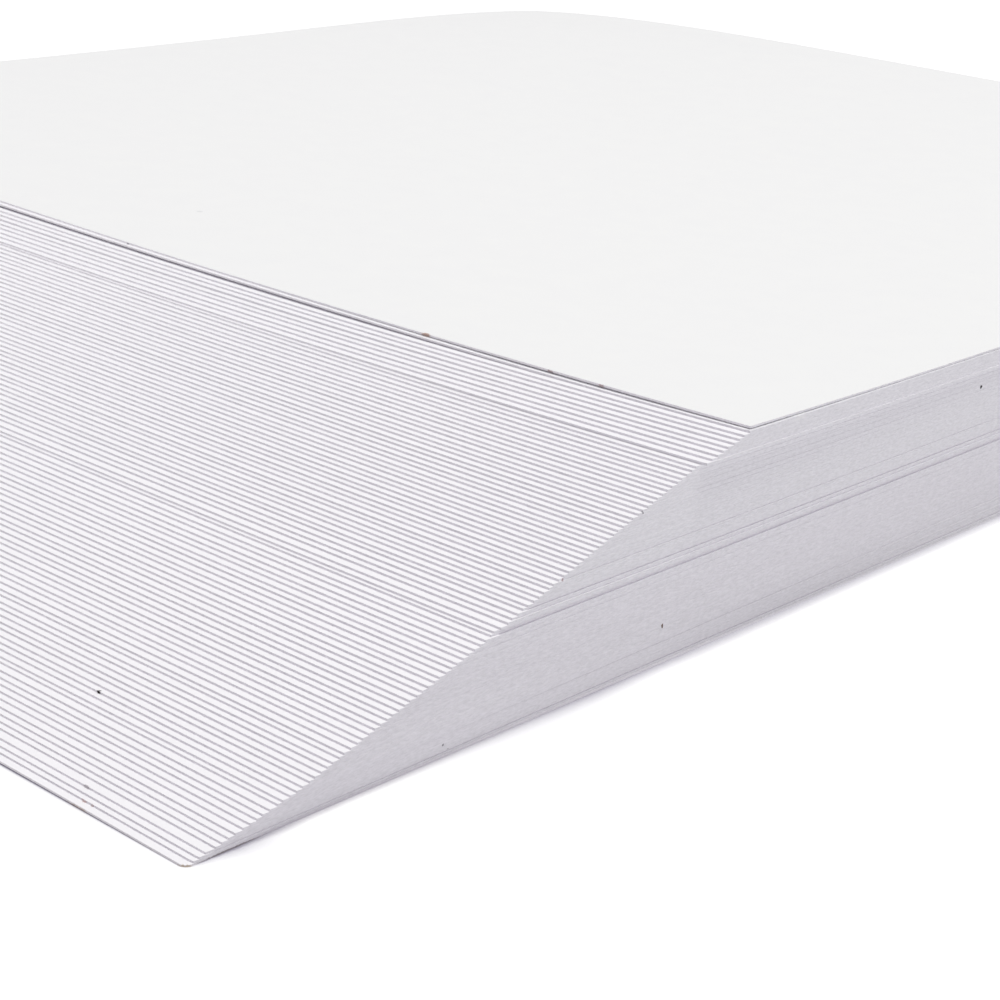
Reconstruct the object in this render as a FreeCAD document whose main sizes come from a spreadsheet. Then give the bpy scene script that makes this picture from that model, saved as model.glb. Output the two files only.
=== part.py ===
import FreeCAD, Part
import os
import Sketcher

# A pack of loose square cardstock, fanned out to the front.
#
# Every sheet is the same blank, cut square by one stroke of a guillotine, so one sketch and one
# pad make the blank and each sheet is a linked copy of it. Sheet 1 lies on the table, and each
# next sheet lies flat on the one below, one fan step further back. Right side and fan are as
# even as hands make them: the fan ripples slowly, each sheet wanders a little, and a few lie
# out of line. The upper half leans in from the flush side. The foot swings about that side,
# sheet by sheet, as the fanning hand drew it.
#
# Frame: +Z up, origin on the table below the middle of the pack. The fan faces -Y, and the side
# that was knocked flush faces +X. Lengths are in millimetres, angles in degrees.

# name, value, what it sets
SIZES = [
    ("SheetWidth", 304.8, "blank, left to right: 12 in"),
    ("SheetDepth", 304.8, "blank, front to back: 12 in"),
    ("SheetThickness", 0.3, "calliper of the card"),
    ("SheetCount", 101, "sheets in the pack"),
    ("SheetsPerNode", 2, "neighbouring sheets that share a node"),
    ("FanStep", 1.111, "reach of a sheet past the one above it"),
    ("FanRipple", 0.23, "slow ripple of the fan, either way"),
    ("RippleSheets", 45, "sheets from one crest of the ripple to the next"),
    ("RippleStart", 33, "where the ripple stands at the table, in degrees of it"),
    ("FrontWander", 0.08, "uneven reach, either way"),
    ("SideWander", 0.04, "uneven side, either way"),
    ("WanderAngle", 137.5, "turns the wander from sheet to sheet, so that it never repeats"),
    ("SideLean", 0.47, "how far the top sheet stands in from the flush side"),
    ("LeanStart", 50, "sheet above which the side leans in, evenly to the top"),
    ("CapSheets", 10, "top sheets, laid on last as one handful"),
    ("CapStep", 1.32, "the fan step within the cap, which is spread wider"),
    ("CapReach", 0.71, "how far the cap's middle reaches forward of its fan step"),
    ("CapTurn", 0.35, "the cap's turn, its left end forward"),
    ("TopTurn", 0.16, "how far the top sheet is turned back from the rest of the cap"),
    ("FootSheets", 16, "bottom sheets, which the hand swung round"),
    ("FootTurn", 0.035, "turn of a foot sheet past the one above it, its left end back"),
    ("SlipFront", 0.35, "reach of a sheet that slipped out of the fan"),
    ("SlipSide", 0.2, "how far a sheet slipped out of the flush side"),
]

# Single sheets that lie out of line, counted from the table: (share of SlipFront towards the
# front, share of SlipSide out of the flush side).
SLIPS = {
    101: (0.4, 0.0),
    92: (0.6, 0.4),
    62: (0.2, 0.0),
    59: (0.0, 0.5),
    56: (-0.3, -0.4),
    53: (0.2, 0.35),
    52: (0.8, 0.3),
    51: (1.0, -0.2),
    50: (0.0, -0.75),
    49: (0.0, 0.3),
    25: (0.5, 0.2),
    14: (-0.5, -0.2),
    10: (-0.4, 0.0),
    9: (-0.2, 0.0),
    8: (0.3, 0.0),
    7: (-0.2, 0.0),
    6: (0.1, 0.0),
    5: (-0.7, 0.0),
    4: (0.5, -0.4),
    3: (0.6, 0.0),
    2: (-0.5, 0.0),
    1: (0.4, 0.0),
}


def fillSheet(doc):
    table = doc.addObject("Spreadsheet::Sheet", "Sizes")
    for row, (name, value, note) in enumerate(SIZES, start=1):
        table.set(f"A{row}", name)
        table.set(f"B{row}", str(value))
        table.set(f"C{row}", note)
        table.setAlias(f"B{row}", name)
    doc.recompute()
    return table


def drawRectangle(sketch, widthCell, depthCell):
    # Four lines round the sketch's own origin, with width and depth as named constraints.
    half = 10.0
    corners = [(-half, -half), (half, -half), (half, half), (-half, half)]
    points = [FreeCAD.Vector(x, y, 0) for x, y in corners]
    for start, end in zip(points, points[1:] + points[:1]):
        sketch.addGeometry(Part.LineSegment(start, end), False)
    for line in range(4):
        sketch.addConstraint(Sketcher.Constraint("Coincident", line, 2, (line + 1) % 4, 1))
    for line, direction in enumerate(["Horizontal", "Vertical"] * 2):
        sketch.addConstraint(Sketcher.Constraint(direction, line))
    sketch.addConstraint(Sketcher.Constraint("Symmetric", 0, 1, 1, 2, -1, 1))
    width = sketch.addConstraint(Sketcher.Constraint("DistanceX", 0, 1, 0, 2, 2 * half))
    depth = sketch.addConstraint(Sketcher.Constraint("DistanceY", 1, 1, 1, 2, 2 * half))
    sketch.renameConstraint(width, "Width")
    sketch.renameConstraint(depth, "Depth")
    sketch.setExpression("Constraints.Width", widthCell)
    sketch.setExpression("Constraints.Depth", depthCell)


def makeBlank(doc):
    # One cut blank, centred on its own origin, with its underside at Z 0.
    body = doc.addObject("PartDesign::Body", "Blank")
    plane = next(item for item in body.Origin.OriginFeatures if item.Role == "XY_Plane")
    outline = body.newObject("Sketcher::SketchObject", "BlankOutline")
    outline.AttachmentSupport = [(plane, "")]
    outline.MapMode = "FlatFace"
    drawRectangle(outline, "Sizes.SheetWidth", "Sizes.SheetDepth")
    card = body.newObject("PartDesign::Pad", "BlankCard")
    card.Profile = outline
    card.setExpression("Length", "Sizes.SheetThickness")
    return body


def placeSheet(doc, table, blank, number):
    # Back is the way from sheet 1 to this one, less half the fan, so that the fan spreads
    # evenly to both ends of the pack.
    outFront, outSide = SLIPS.get(number, (0.0, 0.0))
    ripple = f"((360 * {number} / Sizes.RippleSheets + Sizes.RippleStart) * 1 deg)"
    wander = f"(Sizes.WanderAngle * {number} * 1 deg)"
    belowCap = "(Sizes.SheetCount - Sizes.CapSheets)"
    fan = f"Sizes.FanStep * {belowCap} + Sizes.CapStep * (Sizes.CapSheets - 1) - Sizes.CapReach"
    back = [
        f"Sizes.FanStep * {number - 1}",
        f"-({fan}) / 2",
        f"Sizes.FanRipple * sin{ripple}",
        f"Sizes.FrontWander * sin{wander}",
        f"-({outFront}) * Sizes.SlipFront",
    ]
    side = [f"Sizes.SideWander * cos{wander}", f"({outSide}) * Sizes.SlipSide"]
    turn = "0 deg"
    if number <= table.FootSheets:
        swing = f"(Sizes.FootTurn * (Sizes.FootSheets + 1 - {number}) * 1 deg)"
        back.append(f"Sizes.SheetWidth / 2 * sin{swing}")
        turn = f"-{swing}"
    if number > table.LeanStart:
        leaning = f"({number} - Sizes.LeanStart) / (Sizes.SheetCount - Sizes.LeanStart)"
        side.append(f"-Sizes.SideLean * {leaning}")
    if number > table.SheetCount - table.CapSheets:
        back.append("-Sizes.CapReach")
        back.append(f"(Sizes.CapStep - Sizes.FanStep) * ({number} - {belowCap} - 1)")
        turn = "Sizes.CapTurn * 1 deg"
    if number == table.SheetCount:
        turn = "(Sizes.CapTurn - Sizes.TopTurn) * 1 deg"

    sheet = doc.addObject("App::Link", f"Sheet{number:03d}")
    sheet.LinkedObject = blank
    sheet.LinkTransform = True
    sheet.Placement = FreeCAD.Placement(
        FreeCAD.Vector(0, 0, 0), FreeCAD.Rotation(FreeCAD.Vector(0, 0, 1), 0)
    )
    sheet.setExpression("Placement.Base.x", " + ".join(side))
    sheet.setExpression("Placement.Base.y", " + ".join(back))
    sheet.setExpression("Placement.Base.z", f"Sizes.SheetThickness * {number - 1}")
    sheet.setExpression("Placement.Rotation.Yaw", turn)
    return sheet


def stackSheets(doc, table, blank):
    # Neighbouring sheets share a node, and each stays a solid of its own in it.
    count = int(table.SheetCount)
    perNode = int(table.SheetsPerNode)
    nodes = []
    for first in range(1, count + 1, perNode):
        last = min(first + perNode - 1, count)
        node = doc.addObject("Part::Compound", f"Node{first:03d}")
        node.Label = f"sheets_{first:03d}_{last:03d}"
        node.Links = [placeSheet(doc, table, blank, n) for n in range(first, last + 1)]
        nodes.append(node)
    return nodes


def checkModel(doc, nodes):
    for item in doc.Objects:
        if "Invalid" in item.State or "Error" in item.State:
            raise RuntimeError(f"{item.Label} did not compute: {item.State}")
    for node in nodes:
        if node.Shape.isNull() or not node.Shape.isValid():
            raise RuntimeError(f"{node.Label} has no valid shape")
        if len(node.Shape.Solids) != len(node.Links):
            raise RuntimeError(f"{node.Label} lost a sheet")


doc = FreeCAD.newDocument("CardstockPack")
table = fillSheet(doc)
blank = makeBlank(doc)
nodes = stackSheets(doc, table, blank)
doc.recompute()
checkModel(doc, nodes)

os.makedirs("parts", exist_ok=True)
for node in nodes:
    node.Shape.exportStep(f"parts/{node.Label}.step")
print(len(nodes), "nodes,", sum(len(node.Shape.Solids) for node in nodes), "sheets")
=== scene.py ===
import bpy
import math
from mathutils import Matrix, Vector


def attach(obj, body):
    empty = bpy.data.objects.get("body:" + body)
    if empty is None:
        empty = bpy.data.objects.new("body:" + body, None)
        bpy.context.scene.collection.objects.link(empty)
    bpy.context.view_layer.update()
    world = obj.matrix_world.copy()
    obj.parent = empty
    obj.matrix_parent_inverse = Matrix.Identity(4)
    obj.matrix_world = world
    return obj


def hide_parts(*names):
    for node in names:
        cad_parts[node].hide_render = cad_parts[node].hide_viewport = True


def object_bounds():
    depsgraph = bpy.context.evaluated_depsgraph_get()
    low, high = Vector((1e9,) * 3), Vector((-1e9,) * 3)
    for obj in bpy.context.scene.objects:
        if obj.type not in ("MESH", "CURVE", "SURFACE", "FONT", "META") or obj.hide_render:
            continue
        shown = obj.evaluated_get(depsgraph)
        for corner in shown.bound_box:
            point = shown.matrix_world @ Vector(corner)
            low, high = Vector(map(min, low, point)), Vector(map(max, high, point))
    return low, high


# A pack of loose square cardstock, fanned out to the front, on a white table.
# The frame gives every sheet its place. Here each sheet gets the curl of its corners,
# the air that loose card holds, a cut edge and its paper.

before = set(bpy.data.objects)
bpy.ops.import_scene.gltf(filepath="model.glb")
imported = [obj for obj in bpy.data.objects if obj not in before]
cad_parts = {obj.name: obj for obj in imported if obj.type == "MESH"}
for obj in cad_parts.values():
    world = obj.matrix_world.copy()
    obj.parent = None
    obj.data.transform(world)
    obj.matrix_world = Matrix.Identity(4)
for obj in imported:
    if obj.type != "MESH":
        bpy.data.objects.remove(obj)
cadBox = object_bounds()
mm = 0.001


def linear(hexColour):
    # sRGB hex to linear
    channels = [int(hexColour[i:i + 2], 16) / 255 for i in (0, 2, 4)]
    flat = [c / 12.92 if c <= 0.04045 else ((c + 0.055) / 1.055) ** 2.4 for c in channels]
    return (*flat, 1.0)


def addNode(tree, kind, inputs=None, **settings):
    # One node with its settings; an input takes a value, or another node's output socket
    node = tree.nodes.new(kind)
    for name, value in settings.items():
        setattr(node, name, value)
    for key, value in (inputs or {}).items():
        if isinstance(value, bpy.types.NodeSocket):
            tree.links.new(value, node.inputs[key])
        else:
            node.inputs[key].default_value = value
    return node


# Marks on the card, in mm: (middle, reach along each axis, colour, how much they cover)
marks = [
    ((84.0, -95.9, 33.2), (1.3, 0.6, 0.4), "B08D78", 0.8),       # torn fibres, top front edge
    ((112.0, -95.9, 33.65), (0.8, 0.5, 0.3), "8E6A63", 0.7),
    ((122.8, -95.8, 34.0), (0.8, 0.5, 0.3), "96706A", 0.6),
    ((6.0, -96.2, 32.3), (0.5, 0.5, 0.35), "93909A", 0.7),
    ((152.2, -83.2, 33.9), (0.9, 3.4, 0.7), "FFFFFF", 0.9),      # white scuff, top right edge
    ((152.4, -114.0, 6.85), (0.5, 0.3, 0.5), "5E4330", 1.0),     # flecks in the flush side
    ((152.1, -25.2, 27.3), (0.6, 0.5, 0.42), "1E1B20", 1.0),
    ((152.15, -121.0, 26.95), (0.5, 0.2, 0.25), "77737D", 0.8),
    ((152.3, -138.8, 21.1), (0.5, 0.3, 0.25), "B08F93", 0.8),
    ((151.8, -162.05, 2.35), (0.5, 0.22, 0.25), "7A767F", 0.8),
    ((151.65, -160.75, 1.22), (0.5, 0.22, 0.2), "8F8B95", 0.7),
    ((112.4, -190.7, 5.3), (0.45, 0.5, 0.3), "2E2829", 1.0),     # flecks in the fan
    ((129.2, -207.0, 0.55), (0.7, 0.3, 0.22), "C79C94", 0.5),
    ((131.0, -207.0, 0.6), (0.4, 0.3, 0.2), "B08D86", 0.5),
    ((127.3, -205.0, 1.2), (0.9, 0.3, 0.3), "8A7E84", 0.5),
    ((-6.4, -67.0, 32.0), (0.8, 0.8, 0.8), "E0E0E2", 0.7),       # faint spot on the top sheet
    ((60.0, -209.0, -0.05), (130.0, 1.4, 0.4), "C2B4A4", 0.5),   # a darker beige tone along the lowest edge, next to the table
    ((129.5, -208.3, 0.1), (3.0, 0.5, 0.3), "B59A7E", 0.6),
    ((150.9, -208.3, -0.05), (2.0, 1.4, 0.38), "BFAA8C", 0.8),
    ((152.4, -50.0, 0.0), (4.0, 190.0, 0.45), "F1EFF3", 0.85),   # painted light: the lowest edge of the flush side is lightened, most towards the front
    ((152.4, -140.0, 0.1), (4.0, 75.0, 0.5), "FCFAFD", 0.8),
    # a dark brown line at the foot of the flush side, by the near corner
    ((151.1, -201.0, 0.0), (0.6, 7.0, 0.3), "66574F", 0.6),
]
fray = {
    "size": 0.4 * mm,           # the outline of a mark frays at this scale,
    "depth": 0.5 * mm,          # over a band this wide
    "solid": 0.5,               # share of a mark's reach that is at its full strength
}


def addMarks(tree, place, colour):
    # Lays every mark over a colour
    noise = addNode(tree, "ShaderNodeTexNoise", {"Vector": place, "Scale": 1 / fray["size"]})
    frayed = addNode(tree, "ShaderNodeVectorMath", {
        0: noise.outputs["Color"], 1: (fray["depth"],) * 3, 2: place}, operation="MULTIPLY_ADD")
    frayed = addNode(tree, "ShaderNodeVectorMath", {
        0: frayed.outputs[0], 1: (fray["depth"] / 2,) * 3}, operation="SUBTRACT")
    for middle, reach, mark, cover in marks:
        near = addNode(tree, "ShaderNodeMapping", {
            "Vector": frayed.outputs[0], "Location": Vector(middle) * mm,
            "Scale": Vector(reach) * mm}, vector_type="TEXTURE")
        away = addNode(tree, "ShaderNodeVectorMath", {0: near.outputs[0]}, operation="LENGTH")
        amount = addNode(tree, "ShaderNodeMapRange", {
            "Value": away.outputs["Value"], "From Min": fray["solid"], "From Max": 1.0,
            "To Min": cover, "To Max": 0.0}, interpolation_type="SMOOTHSTEP")
        colour = addNode(tree, "ShaderNodeMix", {
            "Factor": amount.outputs[0], "A": colour, "B": linear(mark)},
            data_type="RGBA").outputs["Result"]
    return colour


face = {
    "open": ("F1F1F2", "F4F4F4"),       # the top sheet; the covered sheets, which show only as strips in the fan, are more violet, and painted brighter than it: a painted highlight on the strips
    "covered": ("F7F5F9", "FBF9FD"),    # of the brightener that the covered sheets still have
    "flocs": 6 * mm,            # flocs of fibre are 3 to 8 mm across
    "sliver": "E8E6EB",         # what shows of the next sheet along the flush side: painted shade under the top sheet's edge
    "sliverWidth": 2 * mm,
    "tooth": 0.3 * mm,          # fibres are 0.02 mm thick; drawn at 0.3 mm so that they show at all
    "toothDepth": 0.02 * mm,
    "toothStrength": 0.12,
    "roughness": (0.78, 0.9),
    "specular": 0.3,
}


def cardFace():
    # Uncoated smooth cardstock, calendered: bright white, matt, with a faint cloudiness
    # of the fibres and a tooth that only shows close up
    material = bpy.data.materials.new("calendered card face")
    material.use_nodes = True
    tree = material.node_tree
    tree.nodes.clear()
    place = addNode(tree, "ShaderNodeTexCoord").outputs["Object"]
    cloud = addNode(tree, "ShaderNodeTexNoise", {
        "Vector": place, "Scale": 1 / face["flocs"], "Detail": 3.0, "Roughness": 0.55})
    opened, covered = (addNode(tree, "ShaderNodeMix", {
        "Factor": cloud.outputs["Fac"], "A": linear(dull), "B": linear(bright)},
        data_type="RGBA").outputs["Result"] for dull, bright in (face["open"], face["covered"]))
    # the covered sheets' strips take the brighter tones: a painted highlight
    isOpen = addNode(tree, "ShaderNodeAttribute", attribute_name="open").outputs["Fac"]
    tint = addNode(tree, "ShaderNodeMix", {"Factor": isOpen, "A": covered, "B": opened},
                   data_type="RGBA")
    # painted shade: the sliver of the next sheet that shows along the flush side, under the top
    # sheet's edge, is darkened
    isNext = addNode(tree, "ShaderNodeAttribute", attribute_name="next").outputs["Fac"]
    at = addNode(tree, "ShaderNodeSeparateXYZ", {0: place}).outputs
    rim = addNode(tree, "ShaderNodeMath", {0: at["X"], 1: cadBox[1].x - face["sliverWidth"]},
                  operation="GREATER_THAN")
    paintedShade = addNode(tree, "ShaderNodeMath", {0: rim.outputs[0], 1: isNext}, operation="MULTIPLY")
    tint = addNode(tree, "ShaderNodeMix", {
        "Factor": paintedShade.outputs[0], "A": tint.outputs["Result"], "B": linear(face["sliver"])},
        data_type="RGBA")
    tint = addMarks(tree, place, tint.outputs["Result"])
    tooth = addNode(tree, "ShaderNodeTexNoise", {
        "Vector": place, "Scale": 1 / face["tooth"], "Detail": 2.0})
    bump = addNode(tree, "ShaderNodeBump", {
        "Height": tooth.outputs["Fac"], "Strength": face["toothStrength"],
        "Distance": face["toothDepth"]})
    rough = addNode(tree, "ShaderNodeMapRange", {
        "Value": cloud.outputs["Fac"],
        "To Min": face["roughness"][0], "To Max": face["roughness"][1]})
    paper = addNode(tree, "ShaderNodeBsdfPrincipled", {
        "Base Color": tint, "Roughness": rough.outputs["Result"],
        "Normal": bump.outputs["Normal"], "Specular IOR Level": face["specular"], "IOR": 1.5})
    addNode(tree, "ShaderNodeOutputMaterial", {"Surface": paper.outputs["BSDF"]})
    return material


edge = {
    # tones, as (place, colour): of the flush side, from the table to the top of the pack, and
    # of the fan, from the middle of the pack to its flush side; both are painted shade, darker
    # towards the table and towards the flush side
    "side": [(0.07, "E3E1E6"), (0.2, "EAE8ED"), (0.4, "EFEDF2"), (0.7, "F2F1F5"), (1.0, "F5F4F8")],
    "front": [(0.0, "F2F1F3"), (0.4, "EAE9EC"), (0.68, "E8E6E9"), (0.85, "E6E4E8")],
    "paintedShade": -60 * mm,          # behind here the foot of the flush side is in full painted shade, and ahead of here, where the pack is low, the painted shade is lifted: there it has the tone of this share of the height
    "shadeLifted": -160 * mm,         # and ahead of here it has been wiped clean
    "liftedShadeHeight": 0.38,        # the clean part has the tone of this share of the height
    "footShadeHeight": 2.6 * mm,   # all along, the lowest edges are painted darker, as in the table's shade, to this share at the table
    "footShadeTone": 0.95,         # to this share at the table
    "blade": 0.6 * mm,          # the blade's marks are this far apart,
    "bladeStretch": 100.0,      # and so many times as tall: unbroken from the table to the top
    "fibre": 1.0 * mm,          # torn fibres are 0.2 mm long; drawn 1 mm long so that they show,
    "fibreFlatness": 4.0,       # and 0.25 mm high
    "fibreDepth": 0.02 * mm,
    "fibreStrength": 0.3,
    # what makes the tone uneven, by how much of each
    "bladeShare": 0.1,
    "fibreShare": 1.0,
    "fanShare": 0.2,            # in the fan every edge has its own tone,
    "sideShare": 0.06,          # and on the flush side one stroke cut them all
    "uneven": (0.79, 1.135),    # what the tone is multiplied by, where they add up to 0 and to 1
    "sideFacing": 0.7,          # faces turned further than this to the side belong to it
    "roughness": 0.95,
    "specular": 0.2,
}


def cutEdge():
    # The guillotined edge of the same card: open fibres, a shade cooler and greyer than the
    # face, with the blade's faint upright marks running through the whole pack. Painted shade:
    # the flush side darkens towards its foot, most where the pack is tall, and the fan towards its
    # flush side
    material = bpy.data.materials.new("guillotined card edge")
    material.use_nodes = True
    tree = material.node_tree
    tree.nodes.clear()
    given = addNode(tree, "ShaderNodeTexCoord").outputs
    place = given["Object"]
    at = addNode(tree, "ShaderNodeSeparateXYZ", {0: place}).outputs
    facing = addNode(tree, "ShaderNodeSeparateXYZ", {0: given["Normal"]}).outputs
    isSide = addNode(tree, "ShaderNodeMath", {0: facing["X"]}, operation="ABSOLUTE")
    isSide = addNode(tree, "ShaderNodeMath", {0: isSide.outputs[0], 1: edge["sideFacing"]},
                     operation="GREATER_THAN").outputs[0]

    # unevenness: blade, fibres and the sheet's own tone
    upright = addNode(tree, "ShaderNodeMapping", {
        "Vector": place, "Scale": (1.0, 1.0, 1 / edge["bladeStretch"])})
    blade = addNode(tree, "ShaderNodeTexNoise", {
        "Vector": upright.outputs["Vector"], "Scale": 1 / edge["blade"], "Detail": 2.0})
    flat = addNode(tree, "ShaderNodeMapping", {
        "Vector": place, "Scale": (1.0, 1.0, edge["fibreFlatness"])})
    fibre = addNode(tree, "ShaderNodeTexNoise", {
        "Vector": flat.outputs["Vector"], "Scale": 1 / edge["fibre"], "Detail": 3.0})
    tone = addNode(tree, "ShaderNodeAttribute", attribute_name="tone").outputs["Fac"]
    spread = addNode(tree, "ShaderNodeMapRange", {
        "Value": isSide, "To Min": edge["fanShare"], "To Max": edge["sideShare"]})
    mixed = addNode(tree, "ShaderNodeMath", {0: tone, 1: spread.outputs[0]}, operation="MULTIPLY")
    for noise, share in ((blade, edge["bladeShare"]), (fibre, edge["fibreShare"])):
        mixed = addNode(tree, "ShaderNodeMath", {
            0: noise.outputs["Fac"], 1: share, 2: mixed.outputs[0]}, operation="MULTIPLY_ADD")
    uneven = addNode(tree, "ShaderNodeMapRange", {
        "Value": mixed.outputs[0], "To Min": edge["uneven"][0], "To Max": edge["uneven"][1]})

    # painted shade: the side darkens towards the table, less where the pack is low at the front,
    # and the fan darkens towards the flush side
    height = addNode(tree, "ShaderNodeMath", {0: at["Z"], 1: cadBox[1].z}, operation="DIVIDE")
    shadeLifted = addNode(tree, "ShaderNodeMapRange", {
        "Value": at["Y"], "From Min": edge["shadeLifted"], "From Max": edge["paintedShade"],
        "To Min": edge["liftedShadeHeight"], "To Max": 0.0})
    height = addNode(tree, "ShaderNodeMath", {0: height.outputs[0], 1: shadeLifted.outputs[0]},
                     operation="MAXIMUM")
    across = addNode(tree, "ShaderNodeMapRange", {
        "Value": at["X"], "From Min": 0.0, "From Max": cadBox[1].x})
    tones = {}
    for key, value in (("side", height), ("front", across)):
        ramp = addNode(tree, "ShaderNodeValToRGB", {0: value.outputs[0]})
        stops = ramp.color_ramp.elements
        while len(stops) < len(edge[key]):
            stops.new(0.5)
        for stop, (position, colour) in zip(stops, edge[key]):
            stop.position = position
            stop.color = linear(colour)
        tones[key] = ramp.outputs["Color"]
    # painted shade: the lowest edges darken close to the table
    footShade = addNode(tree, "ShaderNodeMapRange", {
        "Value": at["Z"], "From Min": 0.0, "From Max": edge["footShadeHeight"],
        "To Min": edge["footShadeTone"], "To Max": 1.0})
    side = addNode(tree, "ShaderNodeVectorMath", {
        0: tones["side"], "Scale": footShade.outputs[0]}, operation="SCALE")
    tint = addNode(tree, "ShaderNodeMix", {
        "Factor": isSide, "A": tones["front"], "B": side.outputs[0]}, data_type="RGBA")
    tint = addNode(tree, "ShaderNodeVectorMath", {
        0: tint.outputs["Result"], "Scale": uneven.outputs[0]}, operation="SCALE")
    tint = addMarks(tree, place, tint.outputs[0])
    bump = addNode(tree, "ShaderNodeBump", {
        "Height": fibre.outputs["Fac"], "Strength": edge["fibreStrength"],
        "Distance": edge["fibreDepth"]})
    paper = addNode(tree, "ShaderNodeBsdfPrincipled", {
        "Base Color": tint, "Roughness": edge["roughness"],
        "Normal": bump.outputs["Normal"], "Specular IOR Level": edge["specular"], "IOR": 1.5})
    addNode(tree, "ShaderNodeOutputMaterial", {"Surface": paper.outputs["BSDF"]})
    return material


pack = {
    "thickness": 0.29 * mm,     # a hair under the frame's pitch, so that sheets never touch
    "cells": 28,                # grid cells across a sheet
    "toneSeed": 7,
    "leftRise": 1.65 * mm,      # how far the edges of the top sheet rise
    "rightRise": 3.16 * mm,
    "frontRise": 1.97 * mm,
    "backRise": 4.3 * mm,
    "twist": 0.54 * mm,
    "farDroop": 7.0 * mm,       # the far left corner hangs back down,
    "droopPower": 6.0,          # and this keeps the droop within a third of a sheet of it
    "power": 1.8,               # upper sheets hold far more air than lower ones
    "footRise": 0.33 * mm,      # the foot's front edge bends up off the table,
    "footReach": 31 * mm,       # over this much of it, from the near corner on
    "footDepth": 13 * mm,       # and so far into the sheet
    "waveCrest": 38 * mm,       # a slack wave stands this far left of the top's near corner,
    "waveReach": 42 * mm,       # fades over this much of the front edge,
    "waveDepth": 25 * mm,       # and over this much of the way into the sheet
    # air under single sheets, beyond the curl, in mm: (at the left edge, at the right edge, and
    # under the slack wave in the front edge)
    "looseGaps": {
        92: (0.0, 0.08, 0.0),
        97: (0.05, 0.0, 0.0),
        100: (0.36, 0.0, 0.0),
        101: (0.0, 0.06, 0.22),
    },
    # where the left edge's air turns into the right edge's, in shares of the way from the middle
    # of a sheet to its right edge
    "airShares": (0.35, 0.85),
    # how far single sheets lie out of their place, in mm: (to the front, out of the flush side)
    "strays": {
        63: (0.0, -0.12),
        56: (0.0, -0.05),
        54: (0.0, -0.04),
        51: (0.0, -0.16),
        50: (-0.13, -0.12),
        49: (-0.1, -0.05),
        48: (-0.05, 0.0),
    },
    "wander": 0.05 * mm,        # sheets that lie this little out of the flush side
    "pressed": 0.3,             # are pressed in line, to this share of it
    # how far the corners of a sheet are worn in, in mm: the lowest one was rubbed on tables
    "cornerWear": {1: 0.35, 2: 0.12, 3: 0.08},
    "freshCorner": 0.03,
}


def readSheets(name):
    # The sheets of one node, from the table up: number, middle of the underside, turn, size
    corners = {tuple(round(c, 7) for c in v.co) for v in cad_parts[name].data.vertices}
    first, last = (int(part) for part in name.split("_")[1:])
    low = min(c[2] for c in corners)
    high = max(c[2] for c in corners)
    pitch = (high - low) / (last - first + 1)
    sheets = []
    for number, level in ((first, low), (last, high)):
        found = [Vector(c) for c in corners if abs(c[2] - level) < 0.001 * mm]
        nearRight = max(found, key=lambda c: c.x - c.y)
        nearLeft = min(found, key=lambda c: c.x + c.y)
        farRight = max(found, key=lambda c: c.x + c.y)
        front = nearRight - nearLeft
        middle = sum(found, Vector()) / len(found)
        middle.z = low + pitch * (number - first)
        sheets.append({
            "number": number, "middle": middle, "turn": math.atan2(front.y, front.x),
            "width": front.length, "depth": (farRight - nearRight).length,
            "nearRight": nearRight,
        })
    return sheets if last > first else sheets[:1]


def settleSheets(sheets):
    # Presses the flush side in line, moves the strays, and gives each sheet its air and wear
    across = [sheet["middle"].x for sheet in sheets]
    air = Vector()
    for place, sheet in enumerate(sheets):
        number = sheet["number"]
        around = sorted(across[max(place - 3, 0):place + 4])
        inLine = around[len(around) // 2]
        stray = across[place] - inLine
        if abs(stray) < pack["wander"]:
            sheet["middle"].x = inLine + stray * pack["pressed"]
        outFront, outSide = pack["strays"].get(number, (0.0, 0.0))
        sheet["middle"] += Vector((outSide, -outFront, 0.0)) * mm
        air += Vector(pack["looseGaps"].get(number, (0.0, 0.0, 0.0))) * mm
        sheet["airLeft"], sheet["airRight"], sheet["airFront"] = air
        sheet["wear"] = pack["cornerWear"].get(number, pack["freshCorner"]) * mm
        sheet["open"] = float(sheet is sheets[-1])
        sheet["next"] = float(sheet is sheets[-2])


def seedMesh(name, sheets):
    # One point for each sheet, with what the node tree has to know about it
    mesh = bpy.data.meshes.new(name)
    mesh.from_pydata([sheet["middle"] for sheet in sheets], [], [])
    for key in ("turn", "airLeft", "airRight", "airFront", "wear", "open", "next"):
        values = mesh.attributes.new(key, "FLOAT", "POINT")
        values.data.foreach_set("value", [sheet[key] for sheet in sheets])
    numbers = mesh.attributes.new("number", "INT", "POINT")
    numbers.data.foreach_set("value", [sheet["number"] for sheet in sheets])
    return mesh


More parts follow.
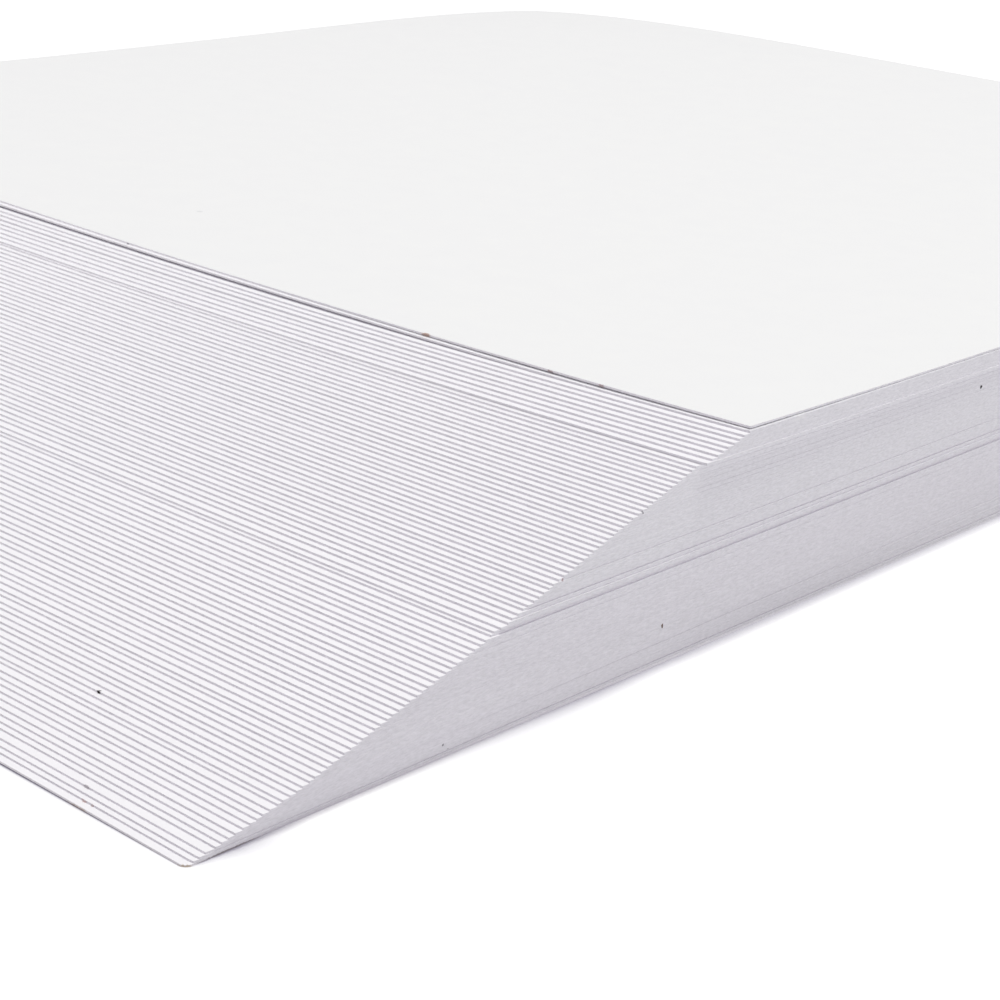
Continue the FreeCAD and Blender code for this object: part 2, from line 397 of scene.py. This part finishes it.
def sheetTree():
    # Blank, laid on each point, then lifted by the curl and by the air under it
    tree = bpy.data.node_groups.new("fanned card", "GeometryNodeTree")
    sockets = {
        "Points": "Geometry", "Width": "Float", "Depth": "Float", "Thickness": "Float",
        "Cells": "Int", "Pack Height": "Float", "Top Middle": "Vector",
        "Right Back Rise": "Vector", "Left Front Rise": "Vector", "Twist": "Float",
        "Far Droop": "Float", "Power": "Float", "Foot Corner": "Vector", "Foot Rise": "Float",
        "Foot Reach": "Vector", "Wave Crest": "Vector", "Wave Reach": "Vector",
        "Tone Seed": "Int", "Face": "Material", "Edge": "Material",
    }
    for name, kind in sockets.items():
        tree.interface.new_socket(name, in_out="INPUT", socket_type="NodeSocket" + kind)
    tree.interface.new_socket("Sheets", in_out="OUTPUT", socket_type="NodeSocketGeometry")
    given = addNode(tree, "NodeGroupInput").outputs
    stored = {
        "number": "INT", "turn": "FLOAT", "airLeft": "FLOAT", "airRight": "FLOAT",
        "airFront": "FLOAT", "wear": "FLOAT", "corner": "FLOAT_VECTOR", "cut": "BOOLEAN",
    }
    own = {key: addNode(tree, "GeometryNodeInputNamedAttribute", {"Name": key},
                        data_type=kind).outputs[0] for key, kind in stored.items()}

    # blank: a flat grid whose lines close up towards the edges, where the curl shows
    count = addNode(tree, "ShaderNodeMath", {0: given["Cells"], 1: 1.0}).outputs[0]
    grid = addNode(tree, "GeometryNodeMeshGrid", {
        "Size X": 2.0, "Size Y": 2.0, "Vertices X": count, "Vertices Y": count})
    at = addNode(tree, "GeometryNodeInputPosition").outputs[0]
    bent = addNode(tree, "ShaderNodeVectorMath", {0: at, 1: (math.pi / 2,) * 3},
                   operation="MULTIPLY")
    bent = addNode(tree, "ShaderNodeVectorMath", {0: bent.outputs[0]}, operation="SINE")
    half = addNode(tree, "ShaderNodeCombineXYZ", {"X": given["Width"], "Y": given["Depth"]})
    half = addNode(tree, "ShaderNodeVectorMath", {0: half.outputs[0], "Scale": 0.5},
                   operation="SCALE").outputs[0]
    bent = addNode(tree, "ShaderNodeVectorMath", {0: bent.outputs[0], 1: half},
                   operation="MULTIPLY")
    flat = addNode(tree, "GeometryNodeSetPosition", {
        "Geometry": grid.outputs["Mesh"], "Position": bent.outputs[0]})
    upper = addNode(tree, "GeometryNodeExtrudeMesh", {
        "Mesh": flat.outputs[0], "Offset": (0.0, 0.0, 1.0), "Offset Scale": given["Thickness"],
        "Individual": False})
    marked = addNode(tree, "GeometryNodeStoreNamedAttribute", {
        "Geometry": upper.outputs["Mesh"], "Name": "cut", "Value": upper.outputs["Side"]},
        data_type="BOOLEAN", domain="FACE")
    under = addNode(tree, "GeometryNodeFlipFaces", {"Mesh": flat.outputs[0]})
    blank = addNode(tree, "GeometryNodeJoinGeometry")
    tree.links.new(under.outputs[0], blank.inputs[0])
    tree.links.new(marked.outputs[0], blank.inputs[0])
    blank = addNode(tree, "GeometryNodeMergeByDistance", {
        "Geometry": blank.outputs[0], "Distance": 0.01 * mm})

    # its four corners: which way each one points, and nothing anywhere else. The hair past 1
    # keeps rounding from losing a corner
    hair = 1.001
    outward = addNode(tree, "ShaderNodeVectorMath", {0: at, 1: half}, operation="DIVIDE")
    outward = addNode(tree, "ShaderNodeVectorMath", {0: outward.outputs[0], 1: (hair, hair, 1.0)},
                      operation="MULTIPLY")
    outward = addNode(tree, "ShaderNodeSeparateXYZ", {0: outward.outputs[0]}).outputs
    whole = [addNode(tree, "ShaderNodeMath", {0: outward[axis]}, operation="TRUNC").outputs[0]
             for axis in "XY"]
    both = addNode(tree, "ShaderNodeMath", {0: whole[0], 1: whole[1]}, operation="MULTIPLY")
    both = addNode(tree, "ShaderNodeMath", {0: both.outputs[0]}, operation="ABSOLUTE")
    outward = addNode(tree, "ShaderNodeCombineXYZ", {"X": whole[0], "Y": whole[1]})
    outward = addNode(tree, "ShaderNodeVectorMath", {
        0: outward.outputs[0], "Scale": both.outputs[0]}, operation="SCALE")
    blank = addNode(tree, "GeometryNodeStoreNamedAttribute", {
        "Geometry": blank.outputs[0], "Name": "corner", "Value": outward.outputs[0]},
        data_type="FLOAT_VECTOR", domain="POINT")

    # one blank on each point, turned as its sheet is, with a tone of its own
    tone = addNode(tree, "FunctionNodeRandomValue", {
        "ID": own["number"], "Seed": given["Tone Seed"]})
    points = addNode(tree, "GeometryNodeStoreNamedAttribute", {
        "Geometry": given["Points"], "Name": "tone", "Value": tone.outputs[1]},
        data_type="FLOAT", domain="POINT")
    turned = addNode(tree, "ShaderNodeCombineXYZ", {"Z": own["turn"]})
    laid = addNode(tree, "GeometryNodeInstanceOnPoints", {
        "Points": points.outputs[0], "Instance": blank.outputs[0], "Rotation": turned.outputs[0]})
    real = addNode(tree, "GeometryNodeRealizeInstances", {"Geometry": laid.outputs[0]})

    # curl: a shallow bowl
    fromMiddle = addNode(tree, "ShaderNodeVectorMath", {0: at, 1: given["Top Middle"]},
                         operation="SUBTRACT")
    flatly = addNode(tree, "ShaderNodeVectorMath", {0: fromMiddle.outputs[0], 1: (1.0, 1.0, 0.0)},
                     operation="MULTIPLY")
    share = addNode(tree, "ShaderNodeVectorMath", {0: flatly.outputs[0], 1: half},
                    operation="DIVIDE").outputs[0]
    across = addNode(tree, "ShaderNodeSeparateXYZ", {0: share}).outputs
    twist = addNode(tree, "ShaderNodeMath", {0: across["X"], 1: across["Y"]},
                    operation="MULTIPLY")
    bowl = addNode(tree, "ShaderNodeMath", {0: twist.outputs[0], 1: given["Twist"]},
                   operation="MULTIPLY").outputs[0]
    for pick, rises in (("MAXIMUM", "Right Back Rise"), ("MINIMUM", "Left Front Rise")):
        part = addNode(tree, "ShaderNodeVectorMath", {0: share, 1: (0.0, 0.0, 0.0)},
                       operation=pick)
        part = addNode(tree, "ShaderNodeVectorMath", {0: part.outputs[0], 1: part.outputs[0]},
                       operation="MULTIPLY")
        part = addNode(tree, "ShaderNodeVectorMath", {0: part.outputs[0], 1: given[rises]},
                       operation="DOT_PRODUCT")
        bowl = addNode(tree, "ShaderNodeMath", {0: bowl, 1: part.outputs["Value"]}).outputs[0]

    # droop: whole at the far left corner, and next to nothing a third of a sheet away from it
    far = addNode(tree, "ShaderNodeVectorMath", {
        0: share, 1: (-0.5, 0.5, 0.0), 2: (0.5, 0.5, 0.0)}, operation="MULTIPLY_ADD")
    far = addNode(tree, "ShaderNodeSeparateXYZ", {0: far.outputs[0]}).outputs
    far = addNode(tree, "ShaderNodeMath", {0: far["X"], 1: far["Y"]}, operation="MULTIPLY")
    far = addNode(tree, "ShaderNodeMath", {0: far.outputs[0], 1: pack["droopPower"]},
                  operation="POWER")
    droop = addNode(tree, "ShaderNodeMath", {0: far.outputs[0], 1: given["Far Droop"]},
                    operation="MULTIPLY")
    bowl = addNode(tree, "ShaderNodeMath", {0: bowl, 1: droop.outputs[0]}, operation="SUBTRACT")

    # both grow with the height in the pack. So a sheet's upper face is lifted a little more
    # than its underside, as the burr of the cut thickens its rim
    rise = addNode(tree, "ShaderNodeSeparateXYZ", {0: at}).outputs["Z"]
    height = addNode(tree, "ShaderNodeMath", {0: rise, 1: given["Pack Height"]},
                     operation="DIVIDE")
    growth = addNode(tree, "ShaderNodeMath", {0: height.outputs[0], 1: given["Power"]},
                     operation="POWER")
    lift = addNode(tree, "ShaderNodeMath", {0: bowl.outputs[0], 1: growth.outputs[0]},
                   operation="MULTIPLY")

    # loose sheets: air that changes from the left part of a sheet to its right edge
    air = addNode(tree, "ShaderNodeMapRange", {
        "Value": across["X"], "From Min": pack["airShares"][0], "From Max": pack["airShares"][1],
        "To Min": own["airLeft"], "To Max": own["airRight"]}, interpolation_type="SMOOTHSTEP")
    lift = addNode(tree, "ShaderNodeMath", {0: lift.outputs[0], 1: air.outputs[0]})

    # slack wave: it fades as a bell curve does, away from its crest
    away = addNode(tree, "ShaderNodeVectorMath", {0: at, 1: given["Wave Crest"]},
                   operation="SUBTRACT")
    away = addNode(tree, "ShaderNodeVectorMath", {0: away.outputs[0], 1: given["Wave Reach"]},
                   operation="DIVIDE")
    away = addNode(tree, "ShaderNodeVectorMath", {0: away.outputs[0], 1: (1.0, 1.0, 0.0)},
                   operation="MULTIPLY")
    fade = addNode(tree, "ShaderNodeVectorMath", {0: away.outputs[0], 1: away.outputs[0]},
                   operation="DOT_PRODUCT")
    fade = addNode(tree, "ShaderNodeMath", {0: fade.outputs["Value"], 1: -1.0},
                   operation="MULTIPLY")
    fade = addNode(tree, "ShaderNodeMath", {0: fade.outputs[0]}, operation="EXPONENT")
    lift = addNode(tree, "ShaderNodeMath", {
        0: fade.outputs[0], 1: own["airFront"], 2: lift.outputs[0]}, operation="MULTIPLY_ADD")

    # foot: its front edge bends up off the table, all but the near corner
    away = addNode(tree, "ShaderNodeVectorMath", {0: at, 1: given["Foot Corner"]},
                   operation="SUBTRACT")
    away = addNode(tree, "ShaderNodeVectorMath", {0: away.outputs[0], 1: given["Foot Reach"]},
                   operation="DIVIDE")
    away = addNode(tree, "ShaderNodeSeparateXYZ", {0: away.outputs[0]}).outputs
    along = addNode(tree, "ShaderNodeMath", {0: away["X"], 1: 0.0}, operation="MINIMUM")
    along = addNode(tree, "ShaderNodeMath", {0: along.outputs[0]}, operation="EXPONENT")
    along = addNode(tree, "ShaderNodeMath", {0: 1.0, 1: along.outputs[0]}, operation="SUBTRACT")
    inward = addNode(tree, "ShaderNodeMath", {0: away["Y"], 1: 0.0}, operation="MAXIMUM")
    inward = addNode(tree, "ShaderNodeMath", {0: inward.outputs[0], 1: -1.0},
                     operation="MULTIPLY")
    inward = addNode(tree, "ShaderNodeMath", {0: inward.outputs[0]}, operation="EXPONENT")
    bend = addNode(tree, "ShaderNodeMath", {0: along.outputs[0], 1: inward.outputs[0]},
                   operation="MULTIPLY")
    lift = addNode(tree, "ShaderNodeMath", {
        0: bend.outputs[0], 1: given["Foot Rise"], 2: lift.outputs[0]}, operation="MULTIPLY_ADD")

    # the lift, the worn corners and the paper
    offset = addNode(tree, "ShaderNodeCombineXYZ", {"Z": lift.outputs[0]})
    worn = addNode(tree, "ShaderNodeVectorMath", {0: own["corner"], "Scale": own["wear"]},
                   operation="SCALE")
    offset = addNode(tree, "ShaderNodeVectorMath", {0: offset.outputs[0], 1: worn.outputs[0]},
                     operation="SUBTRACT")
    curled = addNode(tree, "GeometryNodeSetPosition", {
        "Geometry": real.outputs[0], "Offset": offset.outputs[0]})
    faced = addNode(tree, "GeometryNodeSetMaterial", {
        "Geometry": curled.outputs[0], "Material": given["Face"]})
    edged = addNode(tree, "GeometryNodeSetMaterial", {
        "Geometry": faced.outputs[0], "Selection": own["cut"], "Material": given["Edge"]})
    addNode(tree, "NodeGroupOutput", {"Sheets": edged.outputs[0]})
    return tree


def makeSheets():
    stack = {name: readSheets(name) for name in sorted(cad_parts)}
    everySheet = [sheet for sheets in stack.values() for sheet in sheets]
    settleSheets(everySheet)
    foot, top = everySheet[0], everySheet[-1]
    values = {
        "Width": top["width"], "Depth": top["depth"], "Thickness": pack["thickness"],
        "Cells": pack["cells"], "Pack Height": cadBox[1].z, "Top Middle": top["middle"],
        "Right Back Rise": (pack["rightRise"], pack["backRise"], 0.0),
        "Left Front Rise": (pack["leftRise"], pack["frontRise"], 0.0),
        "Twist": pack["twist"], "Far Droop": pack["farDroop"], "Power": pack["power"],
        "Foot Corner": (foot["nearRight"].x, foot["nearRight"].y, 0.0),
        "Foot Rise": pack["footRise"], "Foot Reach": (pack["footReach"], pack["footDepth"], 1.0),
        "Wave Crest": (top["nearRight"].x - pack["waveCrest"], top["nearRight"].y, 0.0),
        "Wave Reach": (pack["waveReach"], pack["waveDepth"], 1.0),
        "Tone Seed": pack["toneSeed"], "Face": cardFace(), "Edge": cutEdge(),
    }
    tree = sheetTree()
    pieces = {}
    for name, sheets in stack.items():
        mesh = seedMesh(name.replace("sheets", "card"), sheets)
        piece = bpy.data.objects.new(mesh.name, mesh)
        bpy.context.scene.collection.objects.link(piece)
        modifier = piece.modifiers.new("fanned card", "NODES")
        modifier.node_group = tree
        for item in tree.interface.items_tree:
            if item.in_out == "INPUT" and item.name in values:
                modifier[item.identifier] = values[item.name]
        pieces[name] = piece
    graph = bpy.context.evaluated_depsgraph_get()
    finished = {name: bpy.data.meshes.new_from_object(piece.evaluated_get(graph))
                for name, piece in pieces.items()}
    for name, piece in pieces.items():
        piece.modifiers.clear()
        piece.data = finished[name]
        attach(piece, "root")
        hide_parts(name)
    print(len(everySheet), "sheets made, in", len(pieces), "pieces")
    return top


tableTop = {
    "half": 4.0,                # metres from its middle to its sides
    "seen": "FFFFFF",           # seen directly it is pure white under its shadows,
    "glow": 0.2,
    "plain": "F4F4F4",          # and to the card it is an ordinary white
    "fades": (0.4, 0.9),        # metres from the middle, where it goes over into the backdrop
    "tint": "6A5F80",           # it takes this shade close to the card,
    "share": 1.0,               # by this share of what the card hides from it
    "front": -180 * mm,         # none here, all of it from the back on
    "back": -130 * mm,
    "foot": -200 * mm,          # and all of it again in front of here, at the worn corner
    "footEnd": -188 * mm,
    "wide": 8.5 * mm,           # reach of the shade near the front
    "narrow": 3.7 * mm,         # and from here backwards
    "narrows": -115 * mm,
    "samples": 8,
}


def makeTable():
    half = tableTop["half"]
    mesh = bpy.data.meshes.new("table")
    mesh.from_pydata([(-half, -half, 0), (half, -half, 0), (half, half, 0), (-half, half, 0)],
                     [], [(0, 1, 2, 3)])
    table = bpy.data.objects.new("table", mesh)
    bpy.context.scene.collection.objects.link(table)
    material = bpy.data.materials.new("white table")
    material.use_nodes = True
    tree = material.node_tree
    tree.nodes.clear()
    # the card's own shade close to its foot is deepened
    place = addNode(tree, "ShaderNodeTexCoord").outputs["Object"]
    at = addNode(tree, "ShaderNodeSeparateXYZ", {0: place}).outputs
    reach = addNode(tree, "ShaderNodeMapRange", {
        "Value": at["Y"], "From Min": tableTop["front"], "From Max": tableTop["narrows"],
        "To Min": tableTop["wide"], "To Max": tableTop["narrow"]})
    close = addNode(tree, "ShaderNodeAmbientOcclusion", {
        "Color": linear("FFFFFF"), "Distance": reach.outputs[0]}, samples=tableTop["samples"])
    hidden = addNode(tree, "ShaderNodeMath", {0: 1.0, 1: close.outputs["AO"]},
                     operation="SUBTRACT")
    along = addNode(tree, "ShaderNodeMapRange", {
        "Value": at["Y"], "From Min": tableTop["front"], "From Max": tableTop["back"],
        "To Min": 0.0, "To Max": tableTop["share"]})
    atFoot = addNode(tree, "ShaderNodeMapRange", {
        "Value": at["Y"], "From Min": tableTop["foot"], "From Max": tableTop["footEnd"],
        "To Min": tableTop["share"], "To Max": 0.0})
    amount = addNode(tree, "ShaderNodeMath", {0: along.outputs[0], 1: atFoot.outputs[0]},
                     operation="MAXIMUM")
    amount = addNode(tree, "ShaderNodeMath", {0: amount.outputs[0], 1: hidden.outputs[0]},
                     operation="MULTIPLY")
    white = addNode(tree, "ShaderNodeMix", {
        "Factor": amount.outputs[0], "A": linear(tableTop["seen"]),
        "B": linear(tableTop["tint"])}, data_type="RGBA").outputs["Result"]
    seen = addNode(tree, "ShaderNodeBsdfDiffuse", {"Color": white})
    glow = addNode(tree, "ShaderNodeEmission", {"Color": white, "Strength": tableTop["glow"]})
    seen = addNode(tree, "ShaderNodeAddShader", {0: seen.outputs[0], 1: glow.outputs[0]})
    # away from the card it goes over into the white backdrop
    away = addNode(tree, "ShaderNodeVectorMath", {0: place}, operation="LENGTH")
    away = addNode(tree, "ShaderNodeMapRange", {
        "Value": away.outputs["Value"],
        "From Min": tableTop["fades"][0], "From Max": tableTop["fades"][1]})
    backdrop = addNode(tree, "ShaderNodeEmission", {"Color": linear("FFFFFF"), "Strength": 1.0})
    seen = addNode(tree, "ShaderNodeMixShader", {
        0: away.outputs[0], 1: seen.outputs[0], 2: backdrop.outputs[0]})
    plain = addNode(tree, "ShaderNodeBsdfDiffuse", {"Color": linear(tableTop["plain"])})
    rays = addNode(tree, "ShaderNodeLightPath").outputs
    mixed = addNode(tree, "ShaderNodeMixShader", {
        0: rays["Is Camera Ray"], 1: plain.outputs[0], 2: seen.outputs[0]})
    addNode(tree, "ShaderNodeOutputMaterial", {"Surface": mixed.outputs[0]})
    mesh.materials.append(material)
    print("table made")


light = {
    "dome": 0.5,                # share of the light that comes from all round, a little violet
    "domeColour": "F9F4FF",
    "key": 0.555,               # and from the softbox overhead, which makes up for the violet
    "keyColour": "FBFFF4",
    "height": 2.0,              # how high the softbox hangs, in metres,
    "size": 0.55,               # and how long its sides are
    "lean": (8.0, 2.0),         # degrees the softbox stands to the right, and to the back
}


def makeLight():
    world = bpy.data.worlds.new("studio")
    bpy.context.scene.world = world
    world.use_nodes = True
    tree = world.node_tree
    tree.nodes.clear()
    rays = addNode(tree, "ShaderNodeLightPath").outputs
    direct = addNode(tree, "ShaderNodeMath", {
        0: rays["Is Camera Ray"], 1: rays["Is Glossy Ray"]}, operation="MAXIMUM")
    direct = addNode(tree, "ShaderNodeMath", {
        0: direct.outputs[0], 1: rays["Is Transmission Ray"]}, operation="MAXIMUM")
    dome = addNode(tree, "ShaderNodeBackground", {
        "Color": linear(light["domeColour"]), "Strength": light["dome"]})
    backdrop = addNode(tree, "ShaderNodeBackground", {"Color": linear("FFFFFF"), "Strength": 1.0})
    mixed = addNode(tree, "ShaderNodeMixShader", {
        0: direct.outputs[0], 1: dome.outputs[0], 2: backdrop.outputs[0]})
    addNode(tree, "ShaderNodeOutputWorld", {"Surface": mixed.outputs[0]})

    softbox = bpy.data.lights.new("softbox", "AREA")
    softbox.shape = "SQUARE"
    softbox.size = light["size"]
    # an area lamp of P watts at a distance d lights a facing white surface to P / (pi d)^2
    softbox.energy = light["key"] * (math.pi * light["height"]) ** 2
    softbox.color = linear(light["keyColour"])[:3]
    lamp = bpy.data.objects.new("softbox", softbox)
    bpy.context.scene.collection.objects.link(lamp)
    right, back = (math.tan(math.radians(angle)) for angle in light["lean"])
    lamp.location = Vector((right, back, 1.0)) * light["height"]
    lamp.rotation_euler = (-lamp.location).to_track_quat("-Z", "Y").to_euler()
    print("light made")


camera = {
    # from the point on the table below the top sheet's near corner
    "fromCorner": Vector((197.43, -290.18, 150.73)) * mm,
    "turn": 40.4,               # degrees round from looking straight at the fan
    "down": 20.48,
    "roll": 3.69,
    "lens": 86.04,              # in mm, on film this wide
    "film": 36,
    "clip": (0.01, 20),         # metres
}


def makeCamera(nearCorner):
    turn, down, roll = (math.radians(camera[key]) for key in ("turn", "down", "roll"))
    look = Vector((-math.sin(turn) * math.cos(down), math.cos(turn) * math.cos(down),
                   -math.sin(down)))
    level = Vector((math.cos(turn), math.sin(turn), 0.0))
    upright = level.cross(look)
    right = math.cos(roll) * level + math.sin(roll) * upright
    up = math.cos(roll) * upright - math.sin(roll) * level
    data = bpy.data.cameras.new("camera")
    data.sensor_width = camera["film"]
    data.lens = camera["lens"]
    data.clip_start, data.clip_end = camera["clip"]
    eye = bpy.data.objects.new("camera", data)
    bpy.context.scene.collection.objects.link(eye)
    place = Vector((nearCorner.x, nearCorner.y, 0.0)) + camera["fromCorner"]
    axes = Matrix((right, up, -look)).transposed()
    eye.matrix_world = Matrix.Translation(place) @ axes.to_4x4()
    bpy.context.scene.camera = eye
    print("camera made")


top = makeSheets()
makeTable()
makeLight()
makeCamera(top["nearRight"])
bpy.context.scene.view_settings.view_transform = "Standard"
